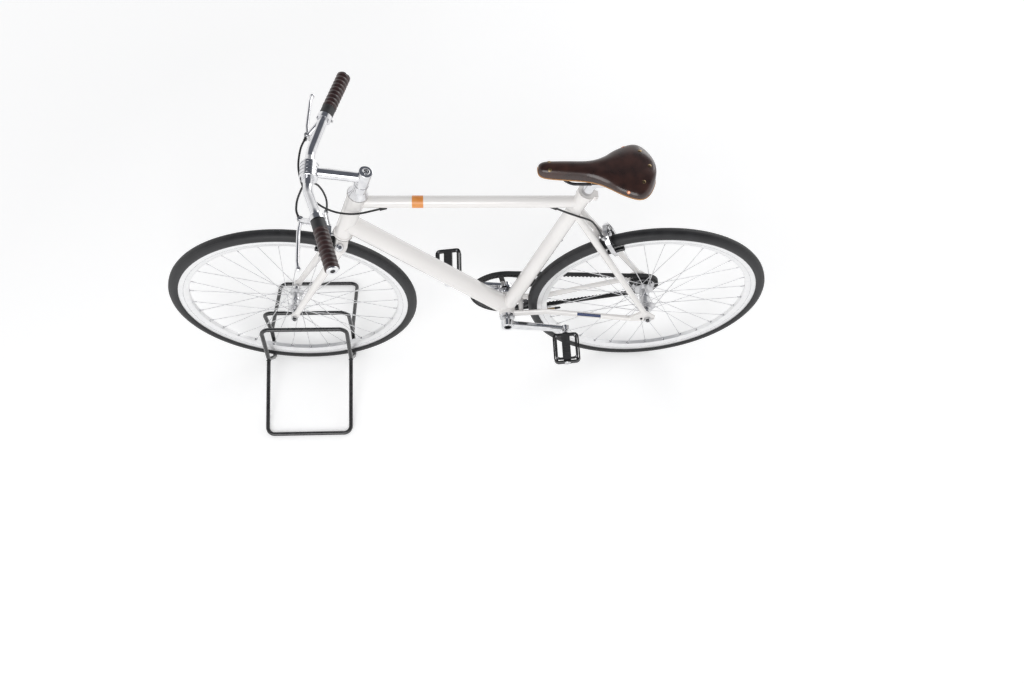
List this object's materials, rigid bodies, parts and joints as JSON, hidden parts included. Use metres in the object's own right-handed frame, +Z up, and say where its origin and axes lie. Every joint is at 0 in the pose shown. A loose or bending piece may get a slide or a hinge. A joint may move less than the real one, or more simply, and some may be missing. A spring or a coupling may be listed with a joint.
{
  "type": "city bicycle",
  "caption": "City bicycle with straight bar, belt drive, rim brakes and leather saddle, held upright at its front wheel by a tubular floor stand.",
  "frame": {"origin": "on the floor, midway between the axles, on the bicycle's middle plane", "axes": "+X forward, +Y to the rider's left, +Z up"},
  "size_m": [1.6939, 0.5614, 0.959],
  "materials": {
    "frame_paint": "gloss",
    "polished_alloy": "polished",
    "rim_alloy": "satin",
    "steel": "polished",
    "tyre_rubber": "matt",
    "leather": "smooth",
    "black_alloy": "anodised",
    "belt_rubber": "matt",
    "cable_jacket": "smooth",
    "stand_paint": "satin"
  },
  "bodies": {
    "front_end": {"stand_cradle": "stand_paint", "stand_leg_near": "stand_paint", "stand_leg_far": "stand_paint", "fork_crown": "frame_paint", "fork_blade_left": "frame_paint", "fork_blade_right": "frame_paint", "front_axle": "steel", "stem": "polished_alloy", "headset_spacers": "polished_alloy", "handlebar": "polished_alloy", "grip_left": "leather", "grip_right": "leather", "grip_collar_left": "belt_rubber", "grip_collar_right": "belt_rubber", "brake_lever_left": "polished_alloy", "brake_lever_right": "polished_alloy", "front_brake": "polished_alloy", "front_brake_cable": "cable_jacket", "rear_cable_lead": "cable_jacket"},
    "frame": {"head_tube": "frame_paint", "headset_cups": "frame_paint", "top_tube": "frame_paint", "down_tube": "frame_paint", "seat_tube": "frame_paint", "bottom_bracket_shell": "frame_paint", "bearing_cups": "polished_alloy", "chain_stay_left": "frame_paint", "chain_stay_right": "frame_paint", "seat_stay_left": "frame_paint", "seat_stay_right": "frame_paint", "stay_bridges": "frame_paint", "dropouts": "frame_paint", "seat_clamp": "frame_paint", "seatpost": "polished_alloy", "saddle_rails": "steel", "saddle": "leather", "rear_axle": "steel", "rear_brake": "polished_alloy", "rear_brake_cable": "cable_jacket", "cable_ports": "cable_jacket", "belt": "belt_rubber"},
    "front_wheel": {"front_tyre": "tyre_rubber", "front_rim": "rim_alloy", "front_hub_and_spokes": "polished_alloy"},
    "rear_wheel": {"rear_tyre": "tyre_rubber", "rear_rim": "rim_alloy", "rear_hub_and_spokes": "polished_alloy"},
    "sprocket": {"rear_sprocket": "black_alloy"},
    "crank": {"crank_left": "polished_alloy", "crank_right": "polished_alloy", "crank_axle": "steel", "chainring": "black_alloy", "pedal_axles": "steel"},
    "pedal_left": {"pedal_left": "polished_alloy", "pedal_tread_left": "belt_rubber"},
    "pedal_right": {"pedal_right": "polished_alloy", "pedal_tread_right": "belt_rubber"}
  },
  "joints": [
    {"name": "steering", "type": "hinge", "parent": "front_end", "child": "frame", "pos_m": [0.44884, 0, 0.32508], "axis": [-0.309, 0, 0.9511], "range_deg": [-60, 60], "deforming": ["rear_cable_lead"]},
    {"name": "front_wheel_spin", "type": "hinge", "parent": "front_end", "child": "front_wheel", "pos_m": [0.504, 0, 0.343], "axis": [0, 1, 0], "continuous": true},
    {"name": "rear_wheel_spin", "type": "hinge", "parent": "frame", "child": "rear_wheel", "pos_m": [-0.504, 0, 0.343], "axis": [0, 1, 0], "continuous": true},
    {"name": "crank_spin", "type": "hinge", "parent": "frame", "child": "crank", "pos_m": [-0.101, 0, 0.3], "axis": [0, 1, 0], "continuous": true},
    {"name": "sprocket_spin", "type": "hinge", "parent": "frame", "child": "sprocket", "pos_m": [-0.504, -0.047, 0.343], "axis": [0, 1, 0], "continuous": true},
    {"name": "pedal_left_spin", "type": "hinge", "parent": "crank", "child": "pedal_left", "pos_m": [-0.27022, 0.071, 0.28371], "axis": [0, 1, 0], "continuous": true},
    {"name": "pedal_right_spin", "type": "hinge", "parent": "crank", "child": "pedal_right", "pos_m": [0.06822, -0.071, 0.31629], "axis": [0, 1, 0], "continuous": true}
  ],
  "couplings": [
    {"joint": "sprocket_spin", "follows": "crank_spin", "ratio": 2.5}
  ]
}
